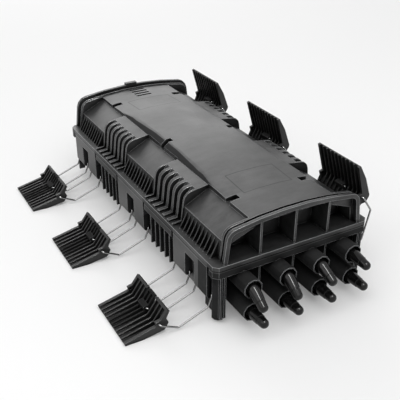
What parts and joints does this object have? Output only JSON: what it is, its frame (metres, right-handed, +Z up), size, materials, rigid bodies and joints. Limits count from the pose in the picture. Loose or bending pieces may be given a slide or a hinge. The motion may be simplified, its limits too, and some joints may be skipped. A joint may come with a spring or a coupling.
{
  "type": "horizontal fibre splice closure",
  "caption": "Black moulded inline fibre splice closure with an arched finned lid, plugged cable ports at one end and wire-hinged over-centre latches along both sides.",
  "frame": {"origin": "centre of the base's footprint between the flange ends, on the surface it stands on", "axes": "+X along the case towards the cable ports, +Y towards the side whose latches stand up, +Z up"},
  "size_m": [0.5321, 0.3571, 0.1532],
  "materials": {
    "case_black": "fine moulded grain, satin",
    "lever_black": "satin",
    "plug_black": "gloss",
    "wire_steel": "bright drawn stainless wire",
    "seal_rubber": "matte",
    "tray_plastic": "satin",
    "bracket_steel": "zinc plated"
  },
  "bodies": {
    "case": {"base_shell": "case_black", "lid_shell": "case_black", "joint_gasket": "seal_rubber", "port_grommets": "seal_rubber", "tray_plate": "tray_plastic", "tray_rack": "tray_plastic", "tray_cover": "tray_plastic", "clamp_bracket": "bracket_steel", "cable_saddles": "tray_plastic", "member_anchors": "bracket_steel", "plate_screws": "bracket_steel", "bracket_screws": "bracket_steel", "splice_tray_1": "tray_plastic", "splice_tray_2": "tray_plastic", "splice_tray_3": "tray_plastic", "port_plug_1": "plug_black", "port_plug_2": "plug_black", "port_plug_3": "plug_black", "port_plug_4": "plug_black", "port_plug_5": "plug_black", "port_plug_6": "plug_black", "port_plug_7": "plug_black", "port_plug_8": "plug_black"},
    "near_wire_1": {"near_wire_1": "wire_steel"},
    "near_lever_1": {"near_lever_1": "lever_black"},
    "near_wire_2": {"near_wire_2": "wire_steel"},
    "near_lever_2": {"near_lever_2": "lever_black"},
    "near_wire_3": {"near_wire_3": "wire_steel"},
    "near_lever_3": {"near_lever_3": "lever_black"},
    "far_wire_1": {"far_wire_1": "wire_steel"},
    "far_lever_1": {"far_lever_1": "lever_black"},
    "far_wire_2": {"far_wire_2": "wire_steel"},
    "far_lever_2": {"far_lever_2": "lever_black"},
    "far_wire_3": {"far_wire_3": "wire_steel"},
    "far_lever_3": {"far_lever_3": "lever_black"}
  },
  "joints": [
    {"name": "near_wire_1_hinge", "type": "hinge", "parent": "case", "child": "near_wire_1", "pos_m": [-0.178, -0.1085, 0.035], "axis": [-1, 0, 0], "range_deg": [0, 98]},
    {"name": "near_lever_1_hinge", "type": "hinge", "parent": "near_wire_1", "child": "near_lever_1", "pos_m": [-0.178, -0.17901, 0.01611], "axis": [-1, 0, 0], "range_deg": [0, 78]},
    {"name": "near_wire_2_hinge", "type": "hinge", "parent": "case", "child": "near_wire_2", "pos_m": [0, -0.1085, 0.035], "axis": [-1, 0, 0], "range_deg": [0, 98]},
    {"name": "near_lever_2_hinge", "type": "hinge", "parent": "near_wire_2", "child": "near_lever_2", "pos_m": [0, -0.17901, 0.01611], "axis": [-1, 0, 0], "range_deg": [0, 78]},
    {"name": "near_wire_3_hinge", "type": "hinge", "parent": "case", "child": "near_wire_3", "pos_m": [0.178, -0.1085, 0.035], "axis": [-1, 0, 0], "range_deg": [0, 98]},
    {"name": "near_lever_3_hinge", "type": "hinge", "parent": "near_wire_3", "child": "near_lever_3", "pos_m": [0.178, -0.17901, 0.01611], "axis": [-1, 0, 0], "range_deg": [0, 78]},
    {"name": "far_wire_1_hinge", "type": "hinge", "parent": "case", "child": "far_wire_1", "pos_m": [-0.178, 0.1085, 0.035], "axis": [1, 0, 0], "range_deg": [-98, 0]},
    {"name": "far_lever_1_hinge", "type": "hinge", "parent": "far_wire_1", "child": "far_lever_1", "pos_m": [-0.178, 0.1174, 0.10746], "axis": [1, 0, 0], "range_deg": [-20.8, 57.2]},
    {"name": "far_wire_2_hinge", "type": "hinge", "parent": "case", "child": "far_wire_2", "pos_m": [0, 0.1085, 0.035], "axis": [1, 0, 0], "range_deg": [-98, 0]},
    {"name": "far_lever_2_hinge", "type": "hinge", "parent": "far_wire_2", "child": "far_lever_2", "pos_m": [0, 0.1174, 0.10746], "axis": [1, 0, 0], "range_deg": [-20.8, 57.2]},
    {"name": "far_wire_3_hinge", "type": "hinge", "parent": "case", "child": "far_wire_3", "pos_m": [0.178, 0.1085, 0.035], "axis": [1, 0, 0], "range_deg": [-98, 0]},
    {"name": "far_lever_3_hinge", "type": "hinge", "parent": "far_wire_3", "child": "far_lever_3", "pos_m": [0.178, 0.1174, 0.10746], "axis": [1, 0, 0], "range_deg": [-20.8, 57.2]}
  ]
}
